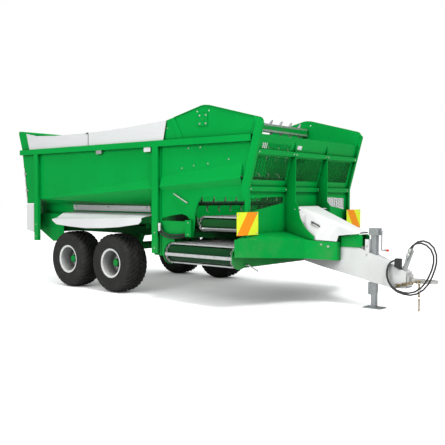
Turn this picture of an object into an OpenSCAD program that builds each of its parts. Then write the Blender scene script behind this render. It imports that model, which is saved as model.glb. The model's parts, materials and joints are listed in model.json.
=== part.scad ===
/* [Overall] */
// Rearmost point of the body, measured from the middle of the two axles
rear_x = -2062; // [-2120:2:-2020]
// Foremost point of the towing ring, measured from the middle of the two axles
nose_x = 4930; // [4900:5:5100]

/* [Wheels] */
// Outside diameter of the tyres
tyre_d = 874; // [800:1:900]
// Width of the tyres
tyre_w = 400; // [300:5:420]
// Distance between the two axles
axle_gap = 1020; // [980:5:1100]
// Distance between the middles of the left and right tyres
track_w = 2370; // [2340:5:2400]
// Diameter of the rim flanges
rim_d = 440; // [400:1:460]

/* [Load box] */
// Distance from the centreline to the outside of a side wall
wall_y = 1222; // [1215:1:1230]
// Thickness of the wall sheets
sheet_t = 6; // [4:0.5:8]
// Height of the underside of the top rails
rail_z = 2120; // [2080:5:2180]
// Height of the top rails
rail_h = 84; // [70:1:110]
// Height of the load floor
floor_z = 1020; // [1010:1:1030]
// Height of the top of the front gables
peak_z = 2632; // [2600:2:2700]
// How far the pressed fold in the walls stands out
fold_out = 46; // [20:1:48]

/* [Front] */
// Front face of the lower front wall
front_x = 2960; // [2950:5:2980]
// Height at which the front wall starts to lean
lean_z = 1535; // [1500:5:1570]
// Lean of the upper front wall
lean_a = 15.5; // [12:0.5:18]
// Half of the overall width over the skirt and the conveyors
half_w = 1530; // [1500:5:1560]

/* [Beaters] */
// Radius to the tips of the beater tines
tine_r = 130; // [110:1:150]
// Distance between the tines along a beater
tine_gap = 250; // [200:5:300]
// Radius of the beater tubes
beater_tube_r = 30; // [25:1:40]

/* [Conveyors] */
// Height of one slat
slat_h = 22; // [15:1:30]
// Width of one slat along the chain
slat_w = 40; // [30:1:60]
// Distance between the slats along the chain
slat_gap = 190; // [150:5:260]

/* [Drawbar] */
// Width of the drawbar
bar_w = 180; // [160:2:200]
// Side of the square outer tube of the jack
jack_w = 75; // [60:1:85]
// Middle of the jack, measured from the middle of the two axles
jack_x = 4088; // [4060:2:4120]

/* [Hidden] */
$fn = 48;

mid_x = (rear_x + nose_x) / 2;
hub_z = tyre_d / 2;
rail_top = rail_z + rail_h;
post_d = 53;
// beaters, bottom to top: columns are x, z
BEATERS = [[1990, 1331], [2064, 1701], [2139, 2072], [2213, 2442]];
// rear edge of the side walls: x as a function of height
rear_slope = 8.7;
cheek_z = 2540;
function rear_edge(z) = rear_x + 45 + (cheek_z - z) * tan(rear_slope);
// front face of the front wall: x as a function of height
function front_edge(z) = front_x + max(0, z - lean_z) * tan(lean_a);

module frame_origin() { translate([-mid_x, 0, 0]) children(); }
module block(a, b) { translate(a) cube(b - a); }
// an outline in the XZ plane, from y to y + t
module plate_xz(y, t, points) { translate([0, y + t, 0]) rotate([90, 0, 0]) linear_extrude(t) polygon(points); }
// an outline in the YZ plane, from x to x + t
module plate_yz(x, t, points) { translate([x, 0, 0]) rotate([90, 0, 90]) linear_extrude(t) polygon(points); }
module rod_y(x, z, r, y0, y1) { translate([x, y0, z]) rotate([-90, 0, 0]) cylinder(r = r, h = y1 - y0); }
module rod(a, b, r) {
    d = b - a;
    translate(a) rotate([0, acos(d[2] / norm(d)), atan2(d[1], d[0])]) cylinder(r = r, h = norm(d), $fn = 24);
}
module rod_x(y, z, r, x0, x1) { translate([x0, y, z]) rotate([0, 90, 0]) cylinder(r = r, h = x1 - x0); }
module both_sides() { children(); mirror([0, 1, 0]) children(); }
// what is drawn for the right side is mirrored for the left one
module on_side(left) { mirror([0, left ? 1 : 0, 0]) children(); }

// a bent sheet between two stations: each section is a list of [y, z] along its outside, t the way to its inside
function sheet_ring(x, section, t) = let (n = len(section), at = function (i) is_list(x) ? x[i] : x)
    concat([for (i = [0:n - 1]) [at(i), section[i][0], section[i][1]]],
        [for (i = [n - 1:-1:0]) [at(i), section[i][0] + t[0], section[i][1] + t[1]]]);
module sheet_loft(rings) {
    m = len(rings[0]);
    e = (len(rings) - 1) * m;
    quads = [for (k = [0:len(rings) - 2], i = [0:m - 1]) let (j = (i + 1) % m, a = k * m)
        each [[a + i, a + j + m, a + j], [a + i, a + i + m, a + j + m]]];
    caps = [for (i = [0:m / 2 - 2]) each [[i, m - 2 - i, m - 1 - i], [i, i + 1, m - 2 - i],
        [e + i, e + m - 1 - i, e + m - 2 - i], [e + i, e + m - 2 - i, e + i + 1]]];
    polyhedron(points = [for (ring = rings) each ring], faces = concat(quads, caps));
}
module bent_sheet(x0, section0, x1, section1, t) {
    sheet_loft([sheet_ring(x0, section0, t), sheet_ring(x1, section1, t)]);
}

// Side walls: flat above, with a pressed fold that rises towards the front, and a hopper slope below
rear_post = [-1553, -1449];
mid_post = [1291, 1410];
flange_x = 1440;
front_strip = 2880;
hopper_y = [980, 930];
hopper_z = 1290;
function rear_bay(zu, zl, out) = [[-wall_y, rail_z], [-wall_y, zu], [-wall_y - out, zl],
    [-hopper_y[0], hopper_z], [-hopper_y[1], floor_z]];
function front_bay(zu, zl, zr) = [[-wall_y, rail_z], [-wall_y, zu], [-wall_y - fold_out, zl],
    [-wall_y, zr], [-wall_y, 1440]];
// rear edge of the opening above the side conveyor
OUTLET_EDGE = [[2078, 1150], [2090, 1205], [2144, 1355]];
module side_wall(left) {
    color("green") frame_origin() on_side(left) {
        bent_sheet(rear_post[1], rear_bay(1383, 1375, 1), mid_post[0], rear_bay(1681, 1543, fold_out), [sheet_t, 0]);
        bent_sheet(flange_x, front_bay(1703, 1560, 1500), front_strip, front_bay(1852, 1660, 1577), [sheet_t, 0]);
        // flat sheet: rear overhang, strip behind the middle post, strip behind the front post, lower panel
        plate_xz(-wall_y, sheet_t, [[rear_edge(rail_z), rail_z], [rear_edge(1300), 1300],
            [rear_post[1], 1300], [rear_post[1], rail_z]]);
        plate_xz(-wall_y, sheet_t, [[mid_post[0], rail_z], [mid_post[0], 600], [flange_x, 600], [flange_x, rail_z]]);
        plate_xz(-wall_y, sheet_t, [[front_strip, rail_z], [front_strip, 1440], [front_x, 1440],
            [front_x, lean_z], [front_edge(rail_z), rail_z]]);
    }
}
module wall_right() { side_wall(false); }
module wall_left() { side_wall(true); }

// Lower front panel with the opening above the side conveyor
module outlet_panel(left) {
    color("green") frame_origin() on_side(left) {
        difference() {
            plate_xz(-wall_y, sheet_t, concat([[flange_x, 1440], [flange_x, 600], [1690, 600], [1690, 868], [2018, 868],
                [2045, 900], [2062, 1000]], OUTLET_EDGE, [[2164, 1408], [2190, 1425], [front_strip, 1425], [2948, 1399],
                [2948, 950], [front_x, 950], [front_x, 1440]]));
            translate([0, -wall_y - 1, 0]) rotate([-90, 0, 0]) linear_extrude(sheet_t + 2)
                polygon([[1450, -1088], [1450, -1126], [1640, -1165], [1832, -1189], [1925, -1165], [1981, -1111], [1985, -1088]]);
        }
        // turned-out edge of the opening, and the box in front of it
        plate_xz(-wall_y - 18, 18, [for (v = OUTLET_EDGE) [v[0] - 5, v[1]], for (i = [2:-1:0]) OUTLET_EDGE[i]]);
        block([1930, -wall_y - 46, 885], [2036, -wall_y, 1108]);
    }
}
module outlet_right() { outlet_panel(false); }
module outlet_left() { outlet_panel(true); }

module side_posts(left) {
    color("green") frame_origin() on_side(left) {
        block([rear_post[0], -wall_y - post_d, 683], [rear_post[1], -wall_y, rail_z]);
        block([mid_post[0], -wall_y - post_d, 628], [mid_post[1], -wall_y, rail_z]);
        block([mid_post[1], -wall_y - 8, 600], [flange_x, -wall_y, rail_z]);
        plate_xz(-wall_y - 42, 42, [[2890, 1440], [2950, 1399], [2950, 964.3], [3005, 964.3], [3005, lean_z], [front_edge(2330) + 40, 2330],
            [3150, 2400], [3095, 2412], [front_edge(2330) - 70, 2330], [2890, lean_z]]);
    }
}
module posts_right() { side_posts(false); }
module posts_left() { side_posts(true); }

rail_end = front_edge(rail_z) - 80;
module top_rail(left) {
    color("green") frame_origin() on_side(left)
        block([rear_edge(rail_top), -wall_y - post_d, rail_z], [rail_end, -wall_y + 24, rail_top]);
}
module rail_right() { top_rail(false); }
module rail_left() { top_rail(true); }

// White boards on the rails: the upper edge dips and rises again, columns are x, height above the rail
BOARD_EDGE = [[-1802, 274], [-1500, 222], [-1000, 198], [-200, 197], [400, 207], [900, 232], [1550, 268]];
module side_boards(left) {
    color("white") frame_origin() on_side(left) difference() {
        plate_xz(-wall_y - 28, 8, concat([[-1711, rail_top], [1490, rail_top]],
            [for (i = [len(BOARD_EDGE) - 1:-1:0]) [BOARD_EDGE[i][0], rail_top + BOARD_EDGE[i][1]]]));
        // joint between the two lengths
        block([-143, -wall_y - 29, rail_top + 20], [-139, -wall_y - 25, 2500]);
    }
}
module boards_right() { side_boards(false); }
module boards_left() { side_boards(true); }

// upper edge of the gables, columns are x, height
GABLE_TOP = [[1527, 2477], [1690, 2513], [2110, peak_z - 22], [2180, peak_z - 5], [2240, peak_z], [2323, peak_z - 8],
    [3100, 2424], [3161, 2409], [3195, 2386], [3212, 2340]];
module gable_sheet(left) {
    color("green") frame_origin() on_side(left) {
        difference() {
            plate_xz(-wall_y, sheet_t, concat([[flange_x + 10, rail_top]], GABLE_TOP, [[front_edge(2330), 2330],
                [front_edge(rail_z), rail_z], [rail_end + 0.2, rail_z], [rail_end + 0.2, rail_top]]));
            rod_y(BEATERS[3][0], BEATERS[3][1], 62, -wall_y - 20, -wall_y + 20);
            for (x = [-108, 100]) rod_y(BEATERS[3][0] + x, BEATERS[3][1] + 112, 10, -wall_y - 20, -wall_y + 20);
        }
        // pressed strip across the sheet, and the turned-over edge along its top
        plate_xz(-wall_y - 7, 7, [[1612, 2492], [1690, 2509], [1862, rail_top + 1], [1752, rail_top + 1]]);
        plate_xz(-wall_y - 12, 12, [for (i = [1:5]) GABLE_TOP[i], [3060, 2434], [3060, 2426],
            for (i = [5:-1:1]) GABLE_TOP[i] - [0, 8]]);
        // rear cheek that carries the tailgate
        difference() {
            plate_xz(-wall_y, 12, [[-1690, rail_top], [rear_edge(rail_top), rail_top],
                [rear_x, cheek_z - 60], [rear_x + 4, cheek_z - 6], [-1790, 2500]]);
            rod_y(gate_pin[0], gate_pin[1], pin_r + 0.3, -wall_y - 1, -wall_y + 13);
        }
    }
}
module gable_right() { gable_sheet(false); }
module gable_left() { gable_sheet(true); }

gate_pin = [rear_x + 46, cheek_z - 40];
pin_r = 15;

// Front wall: vertical below, leaning above, three bays between two tapered ribs
rib_y = 400;
rib_t = 12;
rib_x = 3130;
// curved foot of the ribs, columns are x, height
RIB_FOOT = [[3422, 905], [3419, 921], [3365, 955], [3314, 994], [3270, 1040], [3235, 1097], [3211, 1140], [3194, 1188],
    [3182, 1250], [3177, 1307]];
// hinge of the hood in the ribs
hinge_x = 3123;
hinge_z = 1262;
hinge_r = 8;
// top of the deck at the wall foot, at the bend of the skirt and at the drawbar
function deck_z(x) = x < SKIRT[1][0] ? 964 - (x - front_x) * (966 - SKIRT[1][2]) / (SKIRT[1][0] - 3 - front_x)
    : SKIRT[1][2] - 2 - (x - SKIRT[1][0] + 3) * (SKIRT[1][2] - SKIRT[2][2]) / (SKIRT[2][0] - SKIRT[1][0]);
wall_top = 2205;
inner_y = wall_y - sheet_t;
module lean() { translate([front_x, 0, lean_z]) rotate([0, lean_a, 0]) children(); }
lean_len = (wall_top - lean_z) / cos(lean_a);
module front_wall() {
    color("green") frame_origin() {
        difference() {
            block([front_x - sheet_t, -inner_y, chassis_z[1]], [front_x, inner_y, lean_z]);
            for (s = [-1, 1])
                plate_yz(front_x - 20, 40, [[s * 445, 1345], [s * 445, 1432], [s * 1155, 1408], [s * 1155, 1240]]);
        }
        lean() difference() {
            block([-sheet_t, -inner_y, 0], [0, inner_y, lean_len]);
            for (y = [-1160, -360, 450]) block([-20, y, 110], [20, y + 710, 420]);
            block([-20, -1110, 520], [20, -500, 590]);
        }
        // cross beams
        for (z = [0, 480]) lean() block([0, -inner_y, z - 30], [40, inner_y, z + 30]);
        // tapered ribs between the bays
        difference() {
            for (s = [-1, 1]) plate_xz(s * rib_y - rib_t / 2, rib_t,
                concat([[front_x, deck_z(front_x)], [SKIRT[1][0] - 3, deck_z(SKIRT[1][0] - 3)], [3422, deck_z(3422)]],
                RIB_FOOT, [[rib_x, 1360], [rib_x, 1960], [front_edge(2150), 2150], [front_x, lean_z]]));
            rod_y(hinge_x, hinge_z, hinge_r + 0.3, -rib_y - 20, rib_y + 20);
        }
    }
}
module front_grilles() {
    color("darkgreen") frame_origin() {
        lean() for (y = [-1160, -360, 450]) {
            for (i = [0:10]) block([-10, y + 30 + i * 65 - 3, 100], [-sheet_t, y + 30 + i * 65 + 3, 430]);
            for (z = [94, 430]) block([-10, y - 10, z], [-sheet_t, y + 720, z + 6]);
        }
        for (s = [-1, 1]) {
            for (i = [0:10]) block([front_x - sheet_t - 4, s * (475 + i * 65) - 3, 1236], [front_x - sheet_t, s * (475 + i * 65) + 3, 1440]);
            for (z = [1230, 1440]) block([front_x - sheet_t - 4, s > 0 ? 435 : -1165, z], [front_x - sheet_t, s > 0 ? 1165 : -435, z + 6]);
        }
    }
}

// Beaters: a tube with two rows of hooked tines, on stub shafts in side plates
module beater(k, turn) {
    c = BEATERS[k];
    n = floor((2 * inner_y - 160) / tine_gap);
    translate([c[0], 0, c[1]]) {
        rotate([-90, 0, 0]) translate([0, 0, -inner_y + 12]) cylinder(r = beater_tube_r, h = 2 * inner_y - 24);
        rotate([-90, 0, 0]) translate([0, 0, -inner_y + 1]) cylinder(r = 20, h = 2 * inner_y - 2);
        for (row = [0, 1]) for (i = [0:n - row])
            translate([0, (i - (n - row) / 2) * tine_gap, 0]) rotate([0, turn + 180 * row, 0])
                plate_xz(-5, 10, [[-16, beater_tube_r - 6], [8, beater_tube_r - 6], [20, 70], [14, 100], [-12, tine_r - 5],
                    [-18, tine_r - 13], [2, 98], [6, 72], [-16, 42]]);
    }
}
module beater_low() { color("silver") frame_origin() beater(0, 180); }
module beater_mid() { color("silver") frame_origin() beater(1, 140); }
module beater_high() { color("silver") frame_origin() beater(2, 220); }
module beater_top() {
    color("silver") frame_origin() translate([BEATERS[3][0], 0, BEATERS[3][1]]) {
        rotate([-90, 0, 0]) translate([0, 0, -wall_y - 12]) cylinder(r = 20, h = 2 * wall_y + 24);
        block([-58, -inner_y + 20, -58], [58, inner_y - 20, 58]);
        for (s = [0, 180], i = [-4:4]) rotate([0, s, 0])
            plate_xz(i * tine_gap + 40 - 5, 10, [[-50, 50], [10, 50], [40, 125], [12, 125]]);
    }
}
module beater_plates() {
    color("silver") frame_origin() both_sides() {
        for (k = [0:2]) difference() {
            block([BEATERS[k][0] - 70, -inner_y, BEATERS[k][1] - 70],
                [BEATERS[k][0] + 70, -inner_y + 10, min(BEATERS[k][1] + 70, rail_z)]);
            rod_y(BEATERS[k][0], BEATERS[k][1], 20.3, -inner_y - 1, -inner_y + 11);
        }
        difference() {
            block([BEATERS[3][0] - 85, -wall_y - 8, BEATERS[3][1] - 85], [BEATERS[3][0] + 85, -wall_y, BEATERS[3][1] + 85]);
            rod_y(BEATERS[3][0], BEATERS[3][1], 20.3, -wall_y - 9, -wall_y + 1);
        }
    }
}

// Floor and its slats; the slopes end behind the lowest beater
slope_end = BEATERS[0][0] - tine_r - 10;
function slope(z) = [[-inner_y, z], [-hopper_y[0], hopper_z], [-hopper_y[1], floor_z]];
module load_floor() {
    color("green") frame_origin() {
        block([rear_edge(floor_z) + 4, -940, floor_z - 8], [2020, 940, floor_z]);
        both_sides() {
            bent_sheet(mid_post[0], slope(1500), slope_end, slope(1500), [sheet_t, 0]);
            bent_sheet([for (p = slope(1373)) rear_edge(p[1]) + 4], slope(1373), rear_post[1], slope(1373), [sheet_t, 0]);
        }
        for (x = [-1700:620:1900]) block([x, -900, floor_z - 68], [x + 60, 900, floor_z - 8]);
    }
}
module floor_slats() {
    color("gray") frame_origin() {
        for (y = [-620, -10, 600]) block([-1800, y, floor_z], [1990, y + 20, floor_z + 12]);
        for (x = [-1760:280:1900]) block([x, -880, floor_z + 12], [x + 40, 880, floor_z + 34]);
    }
}

// Frame: two long rails with cross members
chassis_z = [floor_z - 198, floor_z - 68];
module chassis() {
    color("green") frame_origin() {
        for (s = [-1, 1]) block([-1700, s * 450 - 50, chassis_z[0]], [2960, s * 450 + 50, chassis_z[1]]);
        for (x = [-1700, -700, 600, 1900]) block([x, -400, chassis_z[0] + 20], [x + 80, 400, chassis_z[1] - 20]);
        block([2960, -1100, 700], [3060, 1100, 915]);
        // carriers of the rear boards
        both_sides() {
            plate_xz(-1000, 10, [[-1800, 1130], [-1110, 1130], [-1110, 690], [-1400, 660], [-1800, 860]]);
            for (x = [-1660, -1260]) block([x, -990, chassis_z[0] + 10], [x + 60, -500, chassis_z[0] + 80]);
        }
        difference() {
            for (s = [-1, 1]) plate_xz(s * 450 - 50, 100, [[-230, chassis_z[0]], [-110, 545], [110, 545], [230, chassis_z[0]]]);
            rod_y(0, 620, 62.3, -600, 600);
        }
    }
}
module axle_set() {
    color("green") frame_origin() {
        rod_y(0, 620, 62, -862, 862);
        for (s = [-1, 1]) {
            plate_xz(s * 900 - 38, 76, [[-axle_gap / 2 - 60, hub_z + 45], [-axle_gap / 2 - 60, hub_z - 45],
                [-axle_gap / 2 + 60, hub_z - 55], [0, 530], [axle_gap / 2 - 60, hub_z - 55], [axle_gap / 2 + 60, hub_z - 45],
                [axle_gap / 2 + 60, hub_z + 45], [120, 700], [-120, 700]]);
            for (x = [-1, 1]) rod_y(x * axle_gap / 2, hub_z, 35, s > 0 ? 938 : -1190, s > 0 ? 1190 : -938);
        }
    }
}

// Drawbar: a tapered box that slopes down to the towing ring, with a pocket for the jack
function bar_top(x) = 785 - (x - 3890) * 0.418;
module drawbar() {
    color("white") frame_origin() {
        // bracket behind the jack, and the anchor pin of the chain
        block([jack_x - jack_w / 2 - 13, -88, 600], [jack_x - jack_w / 2 - 0.5, 88, 888]);
        for (s = [-1, 1]) block([3996, s * 84 - 4, 600], [jack_x - jack_w / 2 - 12, s * 84 + 4, 888]);
        rod_y(4440, 330, 6, -122, -bar_w / 2 + 10);
    }
    color("white") frame_origin() difference() {
        plate_xz(-bar_w / 2, bar_w, [[3060, 560], [3060, 895], [3640, 790], [3890, 785], [4560, bar_top(4560)], [4560, 300],
                [4360, 293], [3350, 493]]);
        block([jack_x - jack_w / 2, -jack_w / 2, 200], [jack_x + jack_w / 2, jack_w / 2, 900]);
    }
}
module tow_eye() {
    color("silver") frame_origin() difference() {
        union() {
            block([4560, -70, 330], [4590, 70, 470]);
            block([4590, -28, 372], [4760, 28, 428]);
            rod_y(4735, 402, 6, -122, -20);
            translate([nose_x - 80, 0, 382]) cylinder(r = 80, h = 36);
            block([4700, -40, 382], [nose_x - 80, 40, 418]);
        }
        translate([nose_x - 80, 0, 370]) cylinder(r = 26, h = 60);
    }
}

jack_wall = 5;
leg_w = jack_w - 2 * jack_wall - 0.6;
module jack_tube() {
    color("gray") frame_origin() difference() {
        union() {
            block([jack_x - jack_w / 2, -jack_w / 2, 200], [jack_x + jack_w / 2, jack_w / 2, 940]);
            block([jack_x - 62, -50, 940], [jack_x + 70, 50, 1030]);
            block([jack_x - jack_w / 2 - 42, -22, 170], [jack_x - jack_w / 2, 22, 330]);
        }
        block([jack_x - jack_w / 2 + jack_wall, -jack_w / 2 + jack_wall, 100],
            [jack_x + jack_w / 2 - jack_wall, jack_w / 2 - jack_wall, 930]);
    }
}
module jack_crank() {
    color("gray") frame_origin() {
        rod_x(0, 990, 9, jack_x + 70, jack_x + 105);
        translate([jack_x + 96, 0, 752]) cylinder(r = 8, h = 240);
        rod_x(0, 752, 8, jack_x + 90, jack_x + 135);
        rod_x(0, 752, 14, jack_x + 135, jack_x + 190);
    }
}
module jack_leg() {
    color("gray") frame_origin() {
        block([jack_x - leg_w / 2, -leg_w / 2, 12], [jack_x + leg_w / 2, leg_w / 2, 640]);
        block([jack_x - 125, -90, 0], [jack_x + 125, 90, 12]);
    }
}

// Slat conveyors: two side plates with a tray, and a loop of chains and slats round it
module conveyor_loop(x0, x1, zc, r, y_end) {
    yc = y_end - r - slat_h;
    straight = 2 * yc;
    total = 2 * straight + 2 * PI * r;
    n = floor(total / slat_gap / 2) * 2;
    for (x = [x0 + 20, x1 - 32]) translate([x, 0, zc]) rotate([90, 0, 90]) linear_extrude(12) difference() {
        union() { for (s = [-1, 1]) translate([s * yc, 0]) circle(r = r); square([2 * yc, 2 * r], center = true); }
        for (s = [-1, 1]) translate([s * yc, 0]) circle(r = r - 14);
        square([2 * yc, 2 * r - 28], center = true);
    }
    for (i = [0:n - 1]) {
        d = i * total / n;
        a = d < straight ? 0 : d < straight + PI * r ? (d - straight) / r * 180 / PI
            : d < 2 * straight + PI * r ? 180 : 180 + (d - 2 * straight - PI * r) / r * 180 / PI;
        y = d < straight ? -yc + d : d < straight + PI * r ? yc
            : d < 2 * straight + PI * r ? yc - (d - straight - PI * r) : -yc;
        translate([0, y, zc]) rotate([-a, 0, 0]) block([x0, -slat_w / 2, r - 4], [x1, slat_w / 2, r + slat_h - 4]);
    }
}
// rim is how far the round ends stand past the chain, seat the height of the frame rails' face that carries it
module conveyor_frame(x0, x1, zc, r, y_end, rim, seat) {
    yc = y_end - r - slat_h;
    // side plates with round ends
    for (x = [x0 - 16, x1 + 4]) translate([x, 0, zc]) rotate([90, 0, 90]) linear_extrude(12) {
        for (s = [-1, 1]) translate([s * yc, 0]) circle(r = r + rim);
        square([2 * yc, 2 * r + 20], center = true);
        for (s = [-1, 1]) polygon([[s * 430, seat - zc], [s * 470, seat - zc], [s * 470, 0], [s * 430, 0]]);
    }
    // tray between the runs, and the end rollers
    block([x0 - 4, -yc + r, zc - 20], [x1 + 4, yc - r, zc + 20]);
    for (s = [-1, 1]) rod_x(s * yc, zc, r - 14.3, x0 - 4, x1 + 4);
}
CROSS = [2110, 2935, 1062, 84, 1200];
SIDE = [1775, 2938, 668, 118, 1500];
module cross_conveyor() {
    color("green") frame_origin()
        conveyor_frame(CROSS[0], CROSS[1], CROSS[2], CROSS[3], CROSS[4], 10, chassis_z[1]);
}
module cross_chain() { color("silver") frame_origin() conveyor_loop(CROSS[0], CROSS[1], CROSS[2], CROSS[3], CROSS[4]); }
module side_conveyor() {
    color("green") frame_origin()
        conveyor_frame(SIDE[0], SIDE[1], SIDE[2], SIDE[3], SIDE[4], 32, chassis_z[0]);
}
module side_chain() { color("silver") frame_origin() conveyor_loop(SIDE[0], SIDE[1], SIDE[2], SIDE[3], SIDE[4]); }

// Deck and skirt in front of the front wall: an upright face that runs forward to the drawbar
// columns are x, y, height of the upper edge, height of the lower edge
SKIRT = [[3027, half_w, 903, 686], [3345, 500, 869, 627], [3640, 180, 838, 596]];
// an upright strip between two plan points, each [x, y, upper z, lower z], t thick towards the rear
module strip(a, b, t) {
    polyhedron(points = [[a[0], -a[1], a[3]], [b[0], -b[1], b[3]], [b[0], -b[1], b[2]], [a[0], -a[1], a[2]],
        [a[0] - t, -a[1], a[3]], [b[0] - t, -b[1], b[3]], [b[0] - t, -b[1], b[2]], [a[0] - t, -a[1], a[2]]],
        faces = [[0, 3, 2, 1], [4, 5, 6, 7], [0, 1, 5, 4], [3, 7, 6, 2], [1, 2, 6, 5], [0, 4, 7, 3]]);
}
module front_skirt() {
    t = 8;
    // deck corners: wall foot, then along the upper edge of the skirt
    half = concat([[front_x, inner_y, deck_z(front_x)]], [for (p = SKIRT) [p[0] - 3, p[1], p[2] - 2]]);
    top = concat([for (p = half) [p[0], -p[1], p[2]]], [for (i = [3:-1:0]) half[i]]);
    n = len(top);
    low = [for (p = top) p - [0, 0, 5]];
    tops = [[0, 1, 2], [0, 2, 5], [0, 5, 7], [5, 6, 7], [2, 3, 4], [2, 4, 5]];
    sides = [for (i = [0:n - 1]) let (j = (i + 1) % n) each [[i, n + i, n + j], [i, n + j, j]]];
    color("green") frame_origin() {
        polyhedron(points = concat(top, low), faces = concat([for (f = tops) [f[2], f[1], f[0]]],
            [for (f = tops) [n + f[0], n + f[1], n + f[2]]], [for (f = sides) [f[2], f[1], f[0]]]));
        both_sides() {
            for (i = [0, 1]) strip(SKIRT[i], SKIRT[i + 1], t);
            plate_yz(SKIRT[0][0] - 21, 21, [[-half_w, 903], [-half_w, 686], [-1100, 686], [-1100, 903]]);
            plate_yz(SKIRT[2][0] - t, t, [[-SKIRT[2][1], 596], [-SKIRT[2][1], 838], [-bar_w / 2, 838], [-bar_w / 2, 596]]);
            block([3027, -1330, 890], [3040, -1290, 1120]);
        }
    }
}
module hazard_panels() {
    color("yellow") frame_origin() both_sides()
        block([3040, -half_w, 950], [3044, -half_w + 425, 1236]);
}

// Housing on the root of the drawbar, and the white hood over it
HOOD_X = [3085, 3930];
function hood_half(x) = 250 - 140 * (x - HOOD_X[0]) / (HOOD_X[1] - HOOD_X[0]);
function hood_top(x) = 1300 - 325 * (x - HOOD_X[0]) / (HOOD_X[1] - HOOD_X[0]);
// stations of the hood: columns are x, half width at the foot, height of the foot
HOOD = [[3085, 386, 1225], [3140, 386, 1120], [3200, 386, deck_z(3200) + 9], [3320, 386, deck_z(3320) + 9],
    [3430, 376, deck_z(3430) + 9], [3535, 270, deck_z(3535) + 9], [3632, 182, deck_z(3632) + 9], [3644, 160, 922],
    [3780, 138, 938], [3930, 118, 956]];
// columns are x, y, height of the upper edge, height of the lower edge
HOUSE = [for (x = [3135, SKIRT[1][0], 3630]) [x, min(hood_half(x) - 20, 90 + (3640 - x) * 0.5), 1205 - (x - 3135) * 0.3131, deck_z(x - 8) + 0.3]];
module drawbar_housing() {
    color("green") frame_origin() both_sides() {
        for (i = [0, 1]) strip(HOUSE[i], HOUSE[i + 1], 8);
        // tunnel on the drawbar
        plate_xz(-bar_w / 2 - 8, 8, [[3645, 775], [3645, 914], [3925, 944], [3962, 925], [3962, 790], [3890, 775]]);
        plate_xz(-bar_w / 2, bar_w / 2, [[3645, 906], [3645, 914], [3925, 944], [3925, 936]]);
    }
}
// cross-section of the hood at a station, d further in: from its left foot over two soft shoulders to its right foot
function hood_section(h, d) = let (c = [hood_half(h[0]) - d, hood_top(h[0]) - d], foot = [h[1] - d * 1.25, h[2]],
    len = norm(foot - c), k = min(45, len * 0.6), a = c + (foot - c) / len * k, b = c - [k, 0],
    half = concat([foot], [for (f = [0, 0.33, 0.67, 1]) a * (1 - f) * (1 - f) + c * 2 * f * (1 - f) + b * f * f]))
    concat(half, [for (i = [4:-1:0]) [-half[i][0], half[i][1]]]);
// a point on the right side face at a station, f of the way from its shoulder to its foot, out off it
function hood_side(h, f, out) = let (c = [hood_half(h[0]), hood_top(h[0])], d = [h[1], h[2]] - c, q = c + d * f,
    o = [-d[1], d[0]] / norm(d) * out) [h[0], -q[0] - o[0], q[1] + o[1]];
// stations that carry the handle
GRIP = [[HOOD[3], 0.38], [HOOD[4], 0.44]];
module hood() {
    color("white") frame_origin() {
        sheet_loft([for (h = HOOD) let (outer = hood_section(h, 0), inner = hood_section(h, 5))
            concat([for (v = outer) [h[0], v[0], v[1]]], [for (i = [len(inner) - 1:-1:0]) [h[0], inner[i][0], inner[i][1]]])]);
        rod_y(hinge_x, hinge_z, hinge_r, -rib_y - 4, rib_y + 4);
        for (g = GRIP) rod(hood_side(g[0], g[1], -3), hood_side(g[0], g[1], 8), 10);
    }
}

// outer lip of the mudguard: columns are x, height of its upper edge, height of its lower edge
GUARD_LIP = [[-883, 1057, 1040], [-777, 1060, 980], [-400, 1072, 955], [-44, 1083, 941], [350, 1095, 955], [715, 1107, 981],
    [1150, 1121, 1036], [1203, 1123, 1080]];
module mudguard(left) {
    t = 4;
    // outer face of the hopper slope, t off it
    slope_y = function (z) -hopper_y[1] - (hopper_y[0] - hopper_y[1]) * (z - t - floor_z) / (hopper_z - floor_z) - t - 0.05;
    color("white") frame_origin() on_side(left) {
        bent_sheet(-870, [[slope_y(1284), 1284], [slope_y(1196), 1196]], 950, [[slope_y(1284), 1284], [slope_y(1196), 1196]], [t, -t]);
        sheet_loft([for (g = GUARD_LIP) sheet_ring(g[0], [[slope_y(1176), 1176], [-1180, 1150], [-1300, g[1] + 22],
            [-1392, g[1]], [-1395, g[2]]], [t, -t])]);
    }
}
module guard_right() { mudguard(false); }
module guard_left() { mudguard(true); }

module light_board() {
    color("white") frame_origin() both_sides() {
        plate_yz(-1808, 8, [[-1250, 850], [-1250, 1265], [-1030, 1265], [-990, 1150], [-990, 850]]);
        plate_xz(-1250, 8, [[-1801, 850], [-1801, 1262], [-1782, 1288], [-1594, 1288], [-1594, 815], [-1690, 828]]);
        block([1120, -wall_y - 44, rail_z - 64], [1256, -wall_y - 26, rail_z]);
    }
}

// Tailgate: hung from its top, closing the slanted rear end
module tailgate() {
    color("green") frame_origin() {
        translate([rear_edge(1030) - 8, 0, 1030]) rotate([0, -rear_slope, 0])
            plate_yz(-30, 30, [[-1196, 1470], [1196, 1470], [1196, 350], [985, 262], [932, 10], [-932, 10],
                [-985, 262], [-1196, 350]]);
        rod_y(gate_pin[0], gate_pin[1], 34, -1200, 1200);
        rod_y(gate_pin[0], gate_pin[1], pin_r, -wall_y + 2, wall_y - 2);
    }
}
module gate_latches() {
    color("silver") frame_origin() both_sides() {
        rod([rear_edge(1900) + 22, -wall_y - 8, 1900], [rear_edge(1330) + 22, -wall_y - 8, 1330], 8);
        for (z = [1500, 1780]) block([rear_edge(z) + 4, -wall_y - 14, z], [rear_edge(z) + 60, -wall_y, z + 40]);
    }
}

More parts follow.
